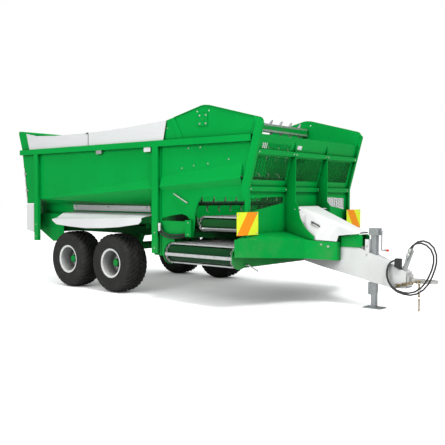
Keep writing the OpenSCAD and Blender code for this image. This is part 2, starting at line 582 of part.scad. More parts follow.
// Wheels
module tyre_shape() {
    R = tyre_d / 2;
    w = tyre_w / 2;
    r0 = rim_d / 2 - 18;
    rotate([90, 0, 0]) rotate_extrude($fn = 48) polygon([[r0, -w + 34], [r0 + 16, -w + 28], [r0 + 16.3, -w + 18],
        [R - 90, -w], [R - 48, -w + 5], [R - 16, -w + 44], [R - 10, -w + 90], [R - 10, w - 90],
        [R - 16, w - 44], [R - 48, w - 5], [R - 90, w], [r0 + 16.3, w - 18], [r0 + 16, w - 28], [r0, w - 34],
        [r0, w - 50], [R - 60, w - 40], [R - 60, -w + 40], [r0, -w + 50]]);
    // tread blocks, slanted, in two rows that meet half a step apart
    for (s = [-1, 1], i = [0:17]) rotate([0, i * 20 + (s > 0 ? 14 : 4), 0])
        plate_yz(R - 20, 19, [[s * 6, -12], [s * 6, 20], [s * 106, 32], [s * 106, 0]]);
}
module rim_shape() {
    w = tyre_w / 2;
    r0 = rim_d / 2 - 18.4;
    rotate([90, 0, 0]) rotate_extrude($fn = 72) polygon([[35.3, -30], [35.3, 10], [60, 14], [100, 8], [150, -20], [r0 - 14, -34],
        [r0 - 14, w - 28], [r0 + 16, w - 20], [r0 + 16, w - 26], [r0, w - 32], [r0, -w + 32], [r0 + 16, -w + 26], [r0 + 16, -w + 20],
        [r0 - 14, -w + 28], [r0 - 14, -50], [150, -34], [100, -30]]);
}
module at_wheel(front, left) {
    frame_origin() translate([(front ? 1 : -1) * axle_gap / 2, (left ? 1 : -1) * track_w / 2, hub_z])
        rotate([0, 0, left ? 180 : 0]) children();
}
module tyre_rf() { color("black") at_wheel(true, false) tyre_shape(); }
module tyre_rr() { color("black") at_wheel(false, false) tyre_shape(); }
module tyre_lf() { color("black") at_wheel(true, true) tyre_shape(); }
module tyre_lr() { color("black") at_wheel(false, true) tyre_shape(); }
module rim_rf() { color("white") at_wheel(true, false) rim_shape(); }
module rim_rr() { color("white") at_wheel(false, false) rim_shape(); }
module rim_lf() { color("white") at_wheel(true, true) rim_shape(); }
module rim_lr() { color("white") at_wheel(false, true) rim_shape(); }

module hood_handle() {
    color("black") frame_origin() {
        for (g = GRIP) rod(hood_side(g[0], g[1], 8), hood_side(g[0], g[1], 34), 8);
        rod(hood_side(GRIP[0][0], GRIP[0][1], 34), hood_side(GRIP[1][0], GRIP[1][1], 34), 9);
    }
}
module side_fittings() {
    color("silver") frame_origin() both_sides() {
        // lever on its two stand-offs
        rod([1700, -wall_y - 26, 1464], [1955, -wall_y - 26, 1338], 9);
        rod_y(1720, 1454, 8, -wall_y - 26, -wall_y);
        rod_y(1935, 1348, 8, -wall_y - 26, -wall_y);
        // clip under the top rail
        block([64, -wall_y - 46, rail_z - 54], [184, -wall_y - 20, rail_z]);
        // turning handle on the frame of the side conveyor
        rod_x(-1250, 570, 10, SIDE[1] + 16, 3004);
        rod([2996, -1250, 578], [2996, -1040, 478], 9);
    }
}
// pipes from the flange of the middle post to the box at the outlet
SIDE_HOSES = [[[1425, -1230.2, 1010], [1425, -1246, 1010], [1432, -1260, 1000], [1455, -1264, 975], [1500, -1260, 930],
        [1580, -1252, 900], [1700, -1248, 895], [1830, -1248, 905], [1928.2, -1248, 920]],
    [[1425, -1230.2, 960], [1425, -1246, 960], [1434, -1262, 950], [1460, -1268, 920], [1520, -1266, 878],
        [1620, -1254, 858], [1740, -1248, 858], [1850, -1248, 872], [1927.2, -1248, 893]]];
module side_hoses() {
    color("black") frame_origin() both_sides() for (path = SIDE_HOSES) swept_tube(path, 11, 8);
}
// a tube swept along a list of points
module swept_tube(path, r, sides) {
    n = len(path);
    ring = function (i) let (a = path[max(0, i - 1)], b = path[min(n - 1, i + 1)], d = (b - a) / norm(b - a),
        u0 = cross(d, [0, 1, 0.17]), u = u0 / norm(u0), v = cross(d, u))
        [for (k = [0:sides - 1]) path[i] + r * (u * cos(k * 360 / sides) + v * sin(k * 360 / sides))];
    points = [for (i = [0:n - 1]) each ring(i)];
    skin = [for (i = [0:n - 2], k = [0:sides - 1]) let (k2 = (k + 1) % sides, a = i * sides, b = a + sides)
        each [[a + k, a + k2, b + k2], [a + k, b + k2, b + k]]];
    polyhedron(points = points, faces = concat(skin, [[for (k = [sides - 1:-1:0]) k],
        [for (k = [0:sides - 1]) (n - 1) * sides + k]]));
}
// routes of the two front hoses, from the block on the drawbar round its front end to the couplings
HOSE_A = [[4416.8, -75, 640], [4388, -83, 636], [4355, -100, 612], [4334, -118, 570], [4324, -130, 510],
    [4328, -136, 440], [4352, -138, 370], [4400, -138, 305], [4468, -138, 260], [4552, -138, 238],
    [4640, -136, 233], [4727, -132, 258], [4802, -124, 312], [4858, -112, 385], [4892, -88, 470],
    [4911, -52, 560], [4915, -15, 640], [4900, 15, 730], [4862, 26, 815], [4800, 24, 872],
    [4737, 5, 895], [4677, -20, 882], [4636, -36, 846], [4612, -37, 807]];
HOSE_B = [[4415.6, -106, 640], [4391, -114, 634], [4362, -132, 606], [4347, -150, 560], [4341, -160, 500],
    [4347, -165, 440], [4372, -167, 375], [4421, -168, 318], [4482, -168, 282], [4556, -168, 264],
    [4635, -166, 262], [4710, -160, 284], [4778, -152, 332], [4830, -142, 396], [4864, -122, 470],
    [4886, -84, 555], [4892, -48, 640], [4878, -20, 722], [4840, -10, 795], [4785, -14, 845],
    [4727, -36, 868], [4674, -62, 862], [4636, -76, 836], [4612.4, -77, 807.6]];
module front_hose_a() { color("black") frame_origin() swept_tube(HOSE_A, 11, 8); }
module front_hose_b() { color("black") frame_origin() swept_tube(HOSE_B, 11, 8); }
module hose_couplings() {
    color("silver") frame_origin() {
        // block the hoses come out of
        plate_xz(-122, 72, [[4420, bar_top(4420) + 0.1], [4490, bar_top(4490) + 0.1], [4490, 668], [4420, 668]]);
        // leaning holder with the two couplings
        plate_xz(-60, 6, [[4492, bar_top(4492) + 0.1], [4552, bar_top(4552) + 0.1], [4648, 770], [4594, 796]]);
        for (y = [-37, -77]) {
            rod([4566, y, 687], [4611, y, 804.5], 18);
            rod([4550, y, 645], [4568, y, 692], 12);
        }
    }
}
module link(l, w, d) {
    linear_extrude(d, center = true) difference() {
        union() {
            square([l - w, w], center = true);
            for (s = [-1, 1]) translate([s * (l - w) / 2, 0]) circle(d = w, $fn = 16);
        }
        square([l - w, w - 2 * d], center = true);
        for (s = [-1, 1]) translate([s * (l - w) / 2, 0]) circle(d = w - 2 * d, $fn = 16);
    }
}
// links between two points of equal y
module links(a, b, n) {
    d = b - a;
    for (i = [0:n - 1]) translate(a + d * i / (n - 1)) rotate([0, -atan2(d[2], d[0]), 0])
        rotate([i % 2 == 0 ? 90 : 0, 0, 0]) link(62, 28, 7);
}
module safety_chain() {
    color("gold") frame_origin() {
        links([4454.6, -106, 333.5], [4720.4, -106, 398.5], 7);
        links([4735, -96, 387], [4735, -96, 203], 5);
        translate([4735, -96, 112.5]) rotate([0, 90, 0]) link(150, 44, 8);
    }
}

chassis();
axle_set();
drawbar();
tow_eye();
jack_tube();
jack_crank();
jack_leg();
load_floor();
floor_slats();
wall_right();
wall_left();
outlet_right();
outlet_left();
posts_right();
posts_left();
rail_right();
rail_left();
boards_right();
boards_left();
gable_right();
gable_left();
front_wall();
front_grilles();
beater_plates();
cross_conveyor();
cross_chain();
side_conveyor();
side_chain();
front_skirt();
hazard_panels();
drawbar_housing();
hood();
guard_right();
guard_left();
light_board();
tailgate();
gate_latches();
tyre_rf();
tyre_rr();
tyre_lf();
tyre_lr();
rim_rf();
rim_rr();
rim_lf();
rim_lr();
beater_low();
beater_mid();
beater_high();
beater_top();
hood_handle();
side_fittings();
side_hoses();
front_hose_a();
front_hose_b();
hose_couplings();
safety_chain();
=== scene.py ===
import json
import math

import bmesh
import bpy
from mathutils import Matrix, Vector


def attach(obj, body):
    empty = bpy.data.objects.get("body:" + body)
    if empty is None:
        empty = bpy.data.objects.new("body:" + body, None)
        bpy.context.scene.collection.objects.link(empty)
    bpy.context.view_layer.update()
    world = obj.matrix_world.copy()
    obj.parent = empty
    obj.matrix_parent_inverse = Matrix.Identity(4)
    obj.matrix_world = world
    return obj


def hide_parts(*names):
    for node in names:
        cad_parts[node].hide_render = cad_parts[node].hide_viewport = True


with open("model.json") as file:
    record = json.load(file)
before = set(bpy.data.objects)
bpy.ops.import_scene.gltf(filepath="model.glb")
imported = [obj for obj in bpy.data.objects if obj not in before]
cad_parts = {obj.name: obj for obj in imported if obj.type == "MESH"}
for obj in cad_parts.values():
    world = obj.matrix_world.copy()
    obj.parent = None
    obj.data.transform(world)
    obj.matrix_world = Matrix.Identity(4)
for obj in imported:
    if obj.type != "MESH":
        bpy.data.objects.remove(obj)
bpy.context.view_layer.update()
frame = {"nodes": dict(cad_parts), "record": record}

bl_info = {
    "name": "Silage Feeder Wagon",
    "version": (1, 0, 0),
    "blender": (4, 5, 0),
    "location": "3D View > Sidebar > Wagon",
    "description": "Paint, tyres, hoses and small parts of a silage feeder wagon",
    "category": "Add Mesh",
}

# the solids are drawn from the middle of the wagon, the tables here from the middle of its axles
MID_X = 1.434
HUB_Z = 0.437
AXLE_X = 0.51
TRACK_Y = 1.185
# columns are body, side (-1 right), place along the wagon (1 front)
WHEELS = [("wheel_rf", -1, 1), ("wheel_rr", -1, -1), ("wheel_lf", 1, 1), ("wheel_lr", 1, -1)]

# columns are x and height
BEATERS = [(1.990, 1.331), (2.064, 1.701), (2.139, 2.072), (2.213, 2.442)]
# the cross conveyor and the side one: columns are x of the rear and front side, height, radius of the ends,
# reach in y
CONVEYORS = [(2.110, 2.935, 1.062, 0.084, 1.200), (1.775, 2.938, 0.668, 0.118, 1.500)]
SLAT_H = 0.022
# outer face of the white boards
BOARD_Y = 1.2505
# the leaning part of the front wall: foot and angle
LEAN_X, LEAN_Z, LEAN = 2.960, 1.535, math.radians(15.5)
# inside of the front chamber: half width, rear end, foot, face of the front wall and its slope
CHAMBER_Y, CHAMBER_X, CHAMBER_Z, CHAMBER_FRONT, CHAMBER_SLOPE = 1.2195, 1.44, 0.9, 2.957, 0.277
# radius of the beaters' painted tubes, half height of the top beater's bar, front of the hoses' block
TUBE_R, BAR_Z, HOSE_BLOCK_X = 0.036, 0.030, 4.4912
# finishes of solids that show more than their own slot's
SPECIAL = {"beater_low": "low_beaters", "beater_mid": "low_beaters", "beater_high": "low_beaters",
           "beater_top": "top_beater", "cross_chain": "cross_web", "side_chain": "side_web",
           "hose_couplings": "couplings", "side_conveyor": "side_rollers"}


# ---------------------------------------------------------------- shader helpers
class Value:
    """A shader socket that can be reckoned with like a number."""

    def __init__(self, finish, socket):
        self.finish = finish
        self.socket = socket

    def math(self, operation, a, b=0.0):
        return self.finish.node("ShaderNodeMath", {"operation": operation}, {0: a, 1: b})

    def __add__(self, other):
        return self.math("ADD", self, other)

    __radd__ = __add__

    def __sub__(self, other):
        return self.math("SUBTRACT", self, other)

    def __rsub__(self, other):
        return self.math("SUBTRACT", other, self)

    def __mul__(self, other):
        return self.math("MULTIPLY", self, other)

    __rmul__ = __mul__

    def __abs__(self):
        return self.math("ABSOLUTE", self)

    def below(self, limit):
        return self.math("LESS_THAN", self, limit)

    def above(self, limit):
        return self.math("GREATER_THAN", self, limit)

    def smooth(self, low, high):
        """0 below low, 1 above high, and a soft step between them."""
        return self.finish.node("ShaderNodeMapRange", {"interpolation_type": "SMOOTHSTEP"},
                                {"Value": self, "From Min": low, "From Max": high})


class Finish:
    """A material with one shader, and the one method that adds its nodes."""

    def __init__(self, name, color, roughness, metallic=0.0, **sockets):
        self.material = bpy.data.materials.new(name)
        self.material.use_nodes = True
        self.tree = self.material.node_tree
        self.shader = self.tree.nodes["Principled BSDF"]
        self.color = (*color, 1.0)
        self.set("Base Color", self.color)
        self.set("Roughness", roughness)
        self.set("Metallic", metallic)
        for key, value in sockets.items():
            self.set(key.replace("_", " "), value)

    def feed(self, socket, value):
        if isinstance(value, Value):
            self.tree.links.new(value.socket, socket)
        else:
            socket.default_value = value

    def set(self, key, value):
        self.feed(self.shader.inputs[key], value)

    def node(self, kind, settings=None, inputs=None, output=0):
        made = self.tree.nodes.new(kind)
        for key, value in (settings or {}).items():
            setattr(made, key, value)
        for key, value in (inputs or {}).items():
            self.feed(made.inputs[key], value)
        return Value(self, made.outputs[output])

    def place(self, scale=(1, 1, 1)):
        """The point on the piece, in its own coordinates."""
        point = self.node("ShaderNodeTexCoord", output="Object")
        return self.node("ShaderNodeMapping", {}, {"Vector": point, "Scale": scale})

    def split(self):
        point = self.node("ShaderNodeTexCoord", output="Object")
        return [self.node("ShaderNodeSeparateXYZ", {}, {0: point}, axis) for axis in range(3)]

    def noise(self, scale, detail=3.0, stretch=(1, 1, 1), roughness=0.55):
        return self.node("ShaderNodeTexNoise", {}, {"Vector": self.place(stretch), "Scale": scale,
                                                    "Detail": detail, "Roughness": roughness})

    def mix(self, factor, a, b):
        return self.node("ShaderNodeMix", {"data_type": "RGBA"}, {0: factor, 6: a, 7: b}, 2)

    def tint(self, factor, color):
        """Covers what the surface has so far with a colour, by a factor."""
        socket = self.shader.inputs["Base Color"]
        under = Value(self, socket.links[0].from_socket) if socket.links else tuple(socket.default_value)
        self.set("Base Color", self.mix(factor, under, (*color, 1.0)))

    def bump(self, height, distance, strength=1.0):
        socket = self.shader.inputs["Normal"]
        inputs = {"Height": height, "Distance": distance, "Strength": strength}
        if socket.links:
            inputs["Normal"] = Value(self, socket.links[0].from_socket)
        self.set("Normal", self.node("ShaderNodeBump", {}, inputs))


def grime(finish, color, top, bottom, most):
    """Road dust that thickens downwards, and gathers in drifts."""
    height = finish.split()[2]
    low = 1 - height.smooth(bottom, top)
    patches = finish.noise(3.0, 6.0, roughness=0.62).smooth(0.38, 0.72)
    finish.tint(low * patches * most, color)


def chamber_shade(f):
    """Stands in for the deep shade inside the front chamber, most of all low down."""
    x, y, z = f.split()
    over_foot = z - LEAN_Z
    front = over_foot.math("MAXIMUM", over_foot, 0.0) * CHAMBER_SLOPE
    behind_wall = (x + MID_X - CHAMBER_FRONT - front).below(0.0)
    inside = abs(y).below(CHAMBER_Y) * (x + MID_X).above(CHAMBER_X) * behind_wall * z.above(CHAMBER_Z)
    low = 1 - z.smooth(1.45, 2.35)
    f.tint(inside * low * (0.70 + f.noise(4.0, 6.0) * 0.25), (0.012, 0.030, 0.012))


def roller_shade(f, x0, x1, zc, r, y_end):
    """Stands in for the deep shade on the rollers and the tray between the conveyor's chains."""
    x, y, z = f.split()
    out, up = y.math("MAXIMUM", abs(y) - (y_end - r - SLAT_H), 0.0), z - zc
    between = abs(x - ((x0 + x1) / 2 - MID_X)).below((x1 - x0) / 2 + 0.0035)
    f.tint((out * out + up * up).below((r - 0.008) ** 2) * between * 0.92, (0.006, 0.022, 0.010))


def paint(name, color, roughness, dark, dusty=0.25, conveyor=None):
    f = Finish(name, color, roughness, Specular_IOR_Level=0.08)
    cloud = f.noise(0.9, 4.0)
    f.set("Base Color", f.mix(cloud.smooth(0.3, 0.75), f.color, (*dark, 1.0)))
    f.set("Roughness", roughness + f.noise(14.0, 5.0).smooth(0.35, 0.7) * 0.07)
    grime(f, (0.30, 0.27, 0.20), 1.25, 0.15, dusty)
    # shade in the creases under edges and rails
    crease = f.node("ShaderNodeAmbientOcclusion", {"samples": 6}, {"Distance": 0.10}, "AO")
    f.tint((1 - crease).smooth(0.15, 0.75) * 0.8, tuple(c * 0.22 for c in color))
    # little light reaches the inside of the body
    closed = f.node("ShaderNodeAmbientOcclusion", {"samples": 6}, {"Distance": 1.3}, "AO")
    f.tint((1 - closed).smooth(0.42, 0.92) * 0.85, tuple(c * 0.10 for c in color))
    # of the painted solids, only green ones reach into the front chamber, where shade is painted on
    if color[0] < 0.1:
        chamber_shade(f)
    if conveyor:
        roller_shade(f, *conveyor)
    # orange peel, and the slow waves of thin sheet
    f.bump(f.noise(260.0, 2.0), 0.0006, 0.18)
    f.bump(f.noise(1.7, 2.0), 0.006, 0.25)
    return f.material


def galvanised(name, color, roughness, rust=0.0, spangle=55.0):
    f = Finish(name, color, roughness, 0.85)
    cells = f.node("ShaderNodeTexVoronoi", {}, {"Vector": f.place(), "Scale": spangle}, "Color")
    grey = f.node("ShaderNodeSeparateColor", {}, {0: cells})
    f.set("Base Color", f.mix(grey * 0.35, f.color, tuple(c * 0.72 for c in color) + (1.0,)))
    f.set("Roughness", roughness + grey * 0.12 + f.noise(9.0, 5.0).smooth(0.4, 0.7) * 0.1)
    if rust:
        spots = f.noise(7.0, 9.0, roughness=0.7).smooth(0.56, 0.68)
        f.tint(spots * rust, (0.16, 0.075, 0.035))
    f.bump(f.noise(90.0, 3.0), 0.001, 0.2)
    return f.material


def worn_steel(name, color, roughness):
    f = Finish(name, color, roughness, 0.9)
    mill = f.noise(60.0, 4.0, stretch=(0.06, 1, 1))
    f.set("Roughness", roughness + mill * 0.2)
    f.tint(f.noise(5.0, 8.0, roughness=0.7).smooth(0.55, 0.7) * 0.6, (0.20, 0.12, 0.07))
    f.tint(f.noise(1.8, 3.0).smooth(0.5, 0.8) * 0.35, (0.12, 0.13, 0.12))
    f.bump(f.noise(45.0, 6.0, roughness=0.7), 0.002, 0.3)
    return f.material


def tread_rubber(name):
    f = Finish(name, (0.016, 0.016, 0.015), 0.62, Specular_IOR_Level=0.3)
    f.set("Roughness", 0.58 + f.noise(30.0, 4.0) * 0.18)
    f.tint(f.noise(9.0, 7.0, roughness=0.65).smooth(0.45, 0.75) * 0.22, (0.10, 0.09, 0.075))
    f.bump(f.noise(180.0, 3.0), 0.0012, 0.35)
    return f.material


def hose_skin(name):
    f = Finish(name, (0.022, 0.022, 0.023), 0.42)
    f.bump(f.noise(420.0, 2.0), 0.0006, 0.4)
    f.set("Roughness", 0.4 + f.noise(25.0, 3.0) * 0.15)
    return f.material


def moulded(name, color, roughness):
    f = Finish(name, color, roughness)
    f.bump(f.noise(700.0, 1.0), 0.0004, 0.5)
    f.set("Roughness", roughness + f.noise(30.0, 3.0) * 0.1)
    return f.material


def board_skin(name):
    f = Finish(name, (0.74, 0.75, 0.75), 0.5)
    f.tint(f.noise(2.2, 5.0, stretch=(0.35, 1, 1)).smooth(0.45, 0.8) * 0.25, (0.56, 0.58, 0.57))
    f.tint(f.noise(40.0, 3.0, stretch=(0.05, 1, 1)).smooth(0.5, 0.7) * 0.10, (0.50, 0.50, 0.48))
    f.bump(f.noise(3.0, 3.0), 0.004, 0.3)
    return f.material


def hazard_sheet(name):
    """Yellow reflective sheet with one orange band across it."""
    f = Finish(name, (0.84, 0.95, 0.03), 0.4, Specular_IOR_Level=0.1)
    y, z = f.split()[1:]
    # the band's middle is 1.322 m out at a height of 1.093 m, then its slope and half its width
    band = abs(abs(y) - 1.322 + (z - 1.093) * 0.743).below(0.106)
    f.tint(band, (1.0, 0.30, 0.0))
    # honeycomb of the reflective film
    cells = f.node("ShaderNodeTexVoronoi", {"feature": "DISTANCE_TO_EDGE"},
                   {"Vector": f.place(), "Scale": 220.0})
    f.tint(cells.below(0.03) * 0.25, (0.90, 0.88, 0.30))
    return f.material


def coat_over(f, steel):
    """Bare steel where the mask is 1, paint elsewhere."""
    f.tint(steel, (0.60, 0.61, 0.61))
    f.set("Metallic", steel * 0.75)
    f.tint(f.noise(12.0, 6.0, roughness=0.7).smooth(0.5, 0.7) * 0.45, (0.13, 0.12, 0.10))
    f.bump(f.noise(60.0, 4.0), 0.002, 0.3)
    return f.material


def beater_finish(name, centres):
    """Green tube, its tines worn bright."""
    f = Finish(name, (0.006, 0.060, 0.020), 0.42, Specular_IOR_Level=0.3)
    x, _, z = f.split()
    near = None
    for cx, cz in centres:
        dx, dz = x - (cx - MID_X), z - cz
        away = dx * dx + dz * dz
        near = away.math("MINIMUM", near, away) if near else away
    return coat_over(f, near.above(TUBE_R * TUBE_R))


def bar_finish(name, cz):
    """Square beater bar: bright on top and on its tines, green on its faces."""
    f = Finish(name, GREEN_DEEP, 0.42, Specular_IOR_Level=0.3)
    return coat_over(f, abs(f.split()[2] - cz).above(BAR_Z))


def web_finish(name, _x0, _x1, zc, r, y_end):
    """Dark green web between bright slats that stand out of the loop."""
    f = Finish(name, (0.0, 0.045, 0.012), 0.45, Specular_IOR_Level=0.15)
    y, z = f.split()[1:]
    out = y.math("MAXIMUM", abs(y) - (y_end - r - SLAT_H), 0.0)
    up = z - zc
    return coat_over(f, (out * out + up * up).above((r + 0.001) ** 2))


def coupling_finish(name):
    """Grey steel, with the hoses' block in black."""
    f = Finish(name, (0.42, 0.43, 0.42), 0.38, 0.7)
    block = f.split()[0].below(HOSE_BLOCK_X - MID_X)
    f.tint(block, (0.018, 0.018, 0.019))
    f.set("Metallic", 0.7 - block * 0.7)
    f.bump(f.noise(90.0, 3.0), 0.001, 0.2)
    return f.material


GREEN = (0.0, 0.36, 0.055)
GREEN_DEEP = (0.0, 0.32, 0.048)
WHITE = (0.80, 0.80, 0.80)


def make_finishes():
    return {
        "green_paint": paint("green_paint", GREEN, 0.30, GREEN_DEEP),
        "green_mesh": paint("green_mesh", GREEN_DEEP, 0.42, (0.0, 0.21, 0.05)),
        "white_paint": paint("white_paint", WHITE, 0.32, (0.72, 0.73, 0.73), 0.15),
        "white_board": board_skin("white_board"),
        "zinc_steel": galvanised("zinc_steel", (0.66, 0.66, 0.64), 0.30, 0.15, 220.0),
        "galvanised": galvanised("galvanised", (0.40, 0.42, 0.43), 0.42, 0.10),
        "worn_steel": worn_steel("worn_steel", (0.46, 0.46, 0.44), 0.36),
        "tyre_rubber": tread_rubber("tyre_rubber"),
        "white_rim": paint("white_rim", WHITE, 0.30, (0.70, 0.71, 0.71), 0.3),
        "hazard_yellow": hazard_sheet("hazard_yellow"),
        "red_plastic": moulded("red_plastic", (0.75, 0.03, 0.015), 0.4),
        "black_plastic": moulded("black_plastic", (0.02, 0.02, 0.021), 0.45),
        "hose_rubber": hose_skin("hose_rubber"),
        "low_beaters": beater_finish("low_beaters", BEATERS[:3]),
        "top_beater": bar_finish("top_beater", BEATERS[3][1]),
        "cross_web": web_finish("cross_web", *CONVEYORS[0]),
        "side_web": web_finish("side_web", *CONVEYORS[1]),
        "couplings": coupling_finish("couplings"),
        "side_rollers": paint("side_rollers", GREEN, 0.30, GREEN_DEEP, conveyor=CONVEYORS[1]),
        "yellow_zinc": galvanised("yellow_zinc", (0.34, 0.25, 0.10), 0.32, 0.3, 260.0),
    }


FINISHES = {}


def finish_of(slot):
    if not FINISHES:
        FINISHES.update(make_finishes())
    return FINISHES[slot]


# ---------------------------------------------------------------- piece helpers
def from_axles(x, y, z):
    return Vector((x - MID_X, y, z))


def piece(name, bm, body, slot, smooth_angle=35.0):
    """Turns a bmesh, already in place, into a finished piece of a body."""
    bmesh.ops.remove_doubles(bm, verts=bm.verts, dist=1e-5)
    bmesh.ops.recalc_face_normals(bm, faces=bm.faces)
    mesh = bpy.data.meshes.new(name)
    bm.to_mesh(mesh)
    bm.free()
    mesh.shade_smooth()
    mesh.set_sharp_from_angle(angle=math.radians(smooth_angle))
    made = bpy.data.objects.new(name, mesh)
    bpy.context.scene.collection.objects.link(made)
    mesh.materials.append(finish_of(slot))
    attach(made, body)
    return made


def lathe(bm, profile, axis, centre, steps):
    """Spins an open or closed outline of (radius, height) about an axis."""
    axis = Vector(axis).normalized()
    side = axis.orthogonal().normalized()
    verts = [bm.verts.new(Vector(centre) + side * r + axis * h) for r, h in profile]
    edges = [bm.edges.new((a, b)) for a, b in zip(verts, verts[1:] + verts[:1])]
    bmesh.ops.spin(bm, geom=verts + edges, cent=centre, axis=axis, angle=math.tau, steps=steps,
                   use_merge=True)


# a tyre's shoulder: columns are distance from its middle plane and drop below its crown
SHOULDER = [(0.0, 0.0), (0.110, 0.0), (0.150, 0.005), (0.172, 0.016), (0.186, 0.034), (0.194, 0.052)]
# tread bars: start and reach from the middle of the tread, what height and width lose at the outer end, half
# widths at the top and at the foot, how far the foot is sunk, lead and bend of the slant
BAR_START, BAR_REACH, BAR_LOWER, BAR_NARROWER = 0.008, 0.184, 0.45, 0.25
BAR_TOP, BAR_FOOT, BAR_SUNK, BAR_LEAD, BAR_BEND = 0.0215, 0.0255, 0.008, 0.150, 1.35


def shoulder(out, crown):
    """Radius of the tyre's carcass at a distance from its middle plane."""
    for (a, drop_a), (b, drop_b) in zip(SHOULDER, SHOULDER[1:]):
        if out <= b:
            return crown - drop_a - (drop_b - drop_a) * (out - a) / (b - a)
    return crown - SHOULDER[-1][1]


def tread_bar(bm, centre, half, start, height, crown):
    """A long slanted bar from the middle of the tread out over one shoulder."""
    before = len(bm.verts)
    made = bmesh.ops.create_cube(bm, size=1.0)
    long_edges = [e for e in {e for v in made["verts"] for e in v.link_edges}
                  if abs(e.verts[0].co.y - e.verts[1].co.y) > 0.5]
    bmesh.ops.subdivide_edges(bm, edges=long_edges, cuts=6, use_grid_fill=True)
    bm.verts.ensure_lookup_table()
    for v in bm.verts[before:]:
        along, top = v.co.y + 0.5, v.co.z > 0
        out = BAR_START + BAR_REACH * along
        radius = shoulder(out, crown) + (height * (1 - BAR_LOWER * along) if top else -BAR_SUNK)
        width = (BAR_TOP if top else BAR_FOOT) * (1 - BAR_NARROWER * along) * (1 if v.co.x > 0 else -1)
        angle = start + (width + BAR_LEAD * math.sin(along * BAR_BEND)) / HUB_Z
        v.co = centre + Vector((math.sin(angle) * radius, half * out, math.cos(angle) * radius))


def block(bm, place, size):
    """A box of a size, its middle where the matrix puts it."""
    return bmesh.ops.create_cube(bm, size=1.0, matrix=place @ Matrix.Diagonal((*size, 1)))


def hex_bolt(bm, centre, axis, size, height):
    """A hexagon head on its washer, standing out along the axis."""
    turn = Vector((0, 0, 1)).rotation_difference(Vector(axis)).to_matrix().to_4x4()
    place = Matrix.Translation(centre) @ turn
    bmesh.ops.create_cone(bm, cap_ends=True, segments=16, radius1=size * 1.05, radius2=size,
                          depth=height * 0.2, matrix=place @ Matrix.Translation((0, 0, height * 0.1)))
    made = bmesh.ops.create_cone(bm, cap_ends=True, segments=6, radius1=size * 0.62, radius2=size * 0.62,
                                 depth=height, matrix=place @ Matrix.Translation((0, 0, height * 0.6)))
    top = [e for e in {e for v in made["verts"] for e in v.link_edges}]
    bmesh.ops.bevel(bm, geom=top, offset=size * 0.06, affect="EDGES", segments=1, profile=0.5, material=-1)


def dress(*nodes):
    """Gives CAD nodes the finish of their own slot."""
    slots = {part["node"]: part["material_slot"] for part in frame["record"]["subparts"]}
    for name in nodes:
        data = frame["nodes"][name].data
        data.materials.clear()
        data.materials.append(finish_of(SPECIAL.get(name, slots[name])))


# ---------------------------------------------------------------- light
# columns are name, place, aimed at, size, watts
LAMPS = [("key", (8.0, -4.0, 11.0), (1.0, 0.0, 1.2), 3.0, 950),
         ("side", (0.0, -11.0, 6.5), (0.0, 0.0, 1.2), 6.0, 460),
         ("top", (0.0, 0.0, 11.0), (0.0, 0.0, 0.0), 7.0, 420)]
# half the floor's width, and how much the camera sees it lifted
FLOOR_SIZE = 60.0
FLOOR_LIFT = 0.80

# ---------------------------------------------------------------- hoses: metres from the axles' middle
HOSE_R = 0.011
HOSE_A = [(4.4168, -0.075, 0.64), (4.388, -0.083, 0.636), (4.355, -0.1, 0.612), (4.334, -0.118, 0.57),
          (4.324, -0.13, 0.51), (4.328, -0.136, 0.44), (4.352, -0.138, 0.37), (4.4, -0.138, 0.305),
          (4.468, -0.138, 0.26), (4.552, -0.138, 0.238), (4.64, -0.136, 0.233), (4.727, -0.132, 0.258),
          (4.802, -0.124, 0.312), (4.858, -0.112, 0.385), (4.892, -0.088, 0.47), (4.911, -0.052, 0.56),
          (4.915, -0.015, 0.64), (4.9, 0.015, 0.73), (4.862, 0.026, 0.815), (4.8, 0.024, 0.872),
          (4.737, 0.005, 0.895), (4.677, -0.02, 0.882), (4.636, -0.036, 0.846), (4.612, -0.037, 0.807)]
HOSE_B = [(4.4156, -0.106, 0.64), (4.391, -0.114, 0.634), (4.362, -0.132, 0.606), (4.347, -0.15, 0.56),
          (4.341, -0.16, 0.5), (4.347, -0.165, 0.44), (4.372, -0.167, 0.375), (4.421, -0.168, 0.318),
          (4.482, -0.168, 0.282), (4.556, -0.168, 0.264), (4.635, -0.166, 0.262), (4.71, -0.16, 0.284),
          (4.778, -0.152, 0.332), (4.83, -0.142, 0.396), (4.864, -0.122, 0.47), (4.886, -0.084, 0.555),
          (4.892, -0.048, 0.64), (4.878, -0.02, 0.722), (4.84, -0.01, 0.795), (4.785, -0.014, 0.845),
          (4.727, -0.036, 0.868), (4.674, -0.062, 0.862), (4.636, -0.076, 0.836), (4.6124, -0.077, 0.8076)]


def hose(name, points, node):
    data = bpy.data.curves.new(name, "CURVE")
    data.dimensions = "3D"
    data.bevel_depth = HOSE_R
    data.bevel_resolution = 5
    data.use_fill_caps = True
    line = data.splines.new("POLY")
    line.points.add(len(points) - 1)
    for spot, point in zip(line.points, points):
        spot.co = (*from_axles(*point), 1.0)
    made = bpy.data.objects.new(name, data)
    bpy.context.scene.collection.objects.link(made)
    data.materials.append(finish_of("hose_rubber"))
    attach(made, "root")
    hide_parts(node)
    from_axles(*points[0])
    return made


# ---------------------------------------------------------------- settings
class WagonSizes(bpy.types.PropertyGroup):
    """Sizes of the pieces that are added to the solids."""

    tyre_lugs: bpy.props.IntProperty(name="Tyre lugs", description="Tread bars on each half of a tyre",
                                     default=34, min=12, max=60)
    lug_height: bpy.props.FloatProperty(name="Lug height", description="Depth of the tread", default=0.016,
                                        unit="LENGTH")
    bolt_size: bpy.props.FloatProperty(name="Bolt size", description="Radius of a wheel bolt's washer",
                                       default=0.014, unit="LENGTH")


def sizes():
    return bpy.context.scene.wagon_sizes


